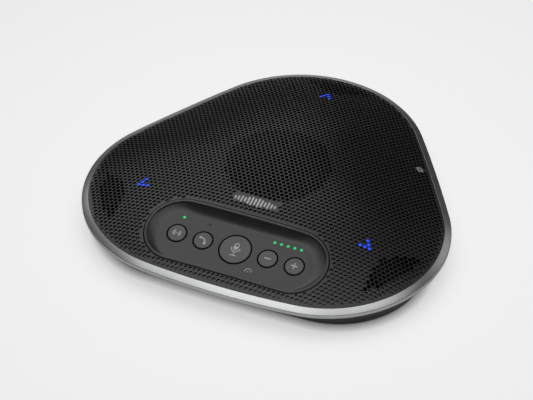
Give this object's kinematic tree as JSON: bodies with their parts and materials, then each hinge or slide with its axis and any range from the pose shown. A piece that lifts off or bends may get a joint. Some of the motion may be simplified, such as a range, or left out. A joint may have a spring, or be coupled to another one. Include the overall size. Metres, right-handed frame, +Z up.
{
  "type": "conference speakerphone",
  "caption": "Table-top conference speakerphone: rounded triangular dome grille, silver rim, dished control panel with push buttons, status lights and direction arrows.",
  "frame": {"origin": "bottom centre of the whole object, on the table under its box's middle", "axes": "+Z up, +X to the right of the user who faces the control panel, -Y towards that user"},
  "size_m": [0.25, 0.2314, 0.0428],
  "materials": {
    "case_plastic": "fine matt black",
    "rim_silver": "satin, finely brushed along the edge",
    "grille_plastic": "satin black",
    "panel_plastic": "fine matt dark grey",
    "button_plastic": "fine matt dark grey",
    "chassis_plastic": "moulded",
    "switch_plastic": "moulded",
    "circuit_board": "green solder mask",
    "steel": "plated",
    "green_light": "lit green",
    "blue_light": "lit blue",
    "dark_lens": "smoked",
    "led_white": "moulded",
    "acoustic_cloth": "fine black weave",
    "foam": "closed-cell foam",
    "basket_steel": "black",
    "ferrite": "sintered",
    "copper": "enamelled wire",
    "cone_paper": "pressed",
    "surround_rubber": "moulded",
    "spider_cloth": "impregnated cotton",
    "chip_plastic": "moulded",
    "socket_plastic": "moulded",
    "ribbon_plastic": "laminated",
    "lead_rubber": "extruded",
    "foot_rubber": "moulded"
  },
  "bodies": {
    "housing": {"audio_jacks": "socket_plastic", "board_chips": "chip_plastic", "board_screws": "steel", "bottom_case": "case_plastic", "call_light_lens": "dark_lens", "case_screws": "steel", "control_board": "circuit_board", "control_panel": "panel_plastic", "dc_inlet": "socket_plastic", "front_left_arrow_board": "circuit_board", "front_left_arrow_guide": "blue_light", "front_left_microphone": "steel", "front_left_microphone_boot": "foot_rubber", "front_right_arrow_board": "circuit_board", "front_right_arrow_guide": "blue_light", "front_right_microphone": "steel", "front_right_microphone_boot": "foot_rubber", "inner_chassis": "chassis_plastic", "link_light_lens": "green_light", "main_board": "circuit_board", "microphone_cables": "lead_rubber", "microphone_cloths": "acoustic_cloth", "near_field_antenna": "copper", "panel_leds": "led_white", "panel_screws": "steel", "rear_arrow_board": "circuit_board", "rear_arrow_guide": "blue_light", "rear_microphone": "steel", "rear_microphone_boot": "foot_rubber", "ribbon_cable": "ribbon_plastic", "rim_ring": "rim_silver", "rubber_feet": "foot_rubber", "shield_can": "steel", "speaker_back_plate": "steel", "speaker_basket": "basket_steel", "speaker_cloth": "acoustic_cloth", "speaker_front_plate": "steel", "speaker_gasket": "foam", "speaker_leads": "lead_rubber", "speaker_magnet": "ferrite", "speaker_screws": "steel", "spider": "spider_cloth", "surround": "surround_rubber", "tact_switches": "switch_plastic", "top_grille": "grille_plastic", "usb_socket": "steel", "volume_light_guide": "green_light"},
    "call_key": {"call_button": "button_plastic", "call_plunger": "switch_plastic"},
    "diaphragm": {"dust_cap": "cone_paper", "speaker_cone": "cone_paper", "voice_coil": "copper"},
    "mute_key": {"mute_button": "button_plastic", "mute_plunger": "switch_plastic"},
    "volume_down_key": {"volume_down_button": "button_plastic", "volume_down_plunger": "switch_plastic"},
    "volume_up_key": {"volume_up_button": "button_plastic", "volume_up_plunger": "switch_plastic"},
    "wireless_key": {"wireless_button": "button_plastic", "wireless_plunger": "switch_plastic"}
  },
  "joints": [
    {"name": "wireless_press", "type": "slide", "parent": "housing", "child": "wireless_key", "axis": [0, 0.2756, -0.9613], "range_m": [0, 0.0005], "stiffness_N_per_m": 900, "springref_m": -0.0005},
    {"name": "call_press", "type": "slide", "parent": "housing", "child": "call_key", "axis": [0, 0.2756, -0.9613], "range_m": [0, 0.0005], "stiffness_N_per_m": 900, "springref_m": -0.0005},
    {"name": "mute_press", "type": "slide", "parent": "housing", "child": "mute_key", "axis": [0, 0.2756, -0.9613], "range_m": [0, 0.0005], "stiffness_N_per_m": 900, "springref_m": -0.0005},
    {"name": "volume_down_press", "type": "slide", "parent": "housing", "child": "volume_down_key", "axis": [0, 0.2756, -0.9613], "range_m": [0, 0.0005], "stiffness_N_per_m": 900, "springref_m": -0.0005},
    {"name": "volume_up_press", "type": "slide", "parent": "housing", "child": "volume_up_key", "axis": [0, 0.2756, -0.9613], "range_m": [0, 0.0005], "stiffness_N_per_m": 900, "springref_m": -0.0005},
    {"name": "diaphragm_stroke", "type": "slide", "parent": "housing", "child": "diaphragm", "axis": [0, 0, 1], "range_m": [-0.0015, 0.0015], "stiffness_N_per_m": 1500, "deforming": ["surround", "spider"]}
  ]
}
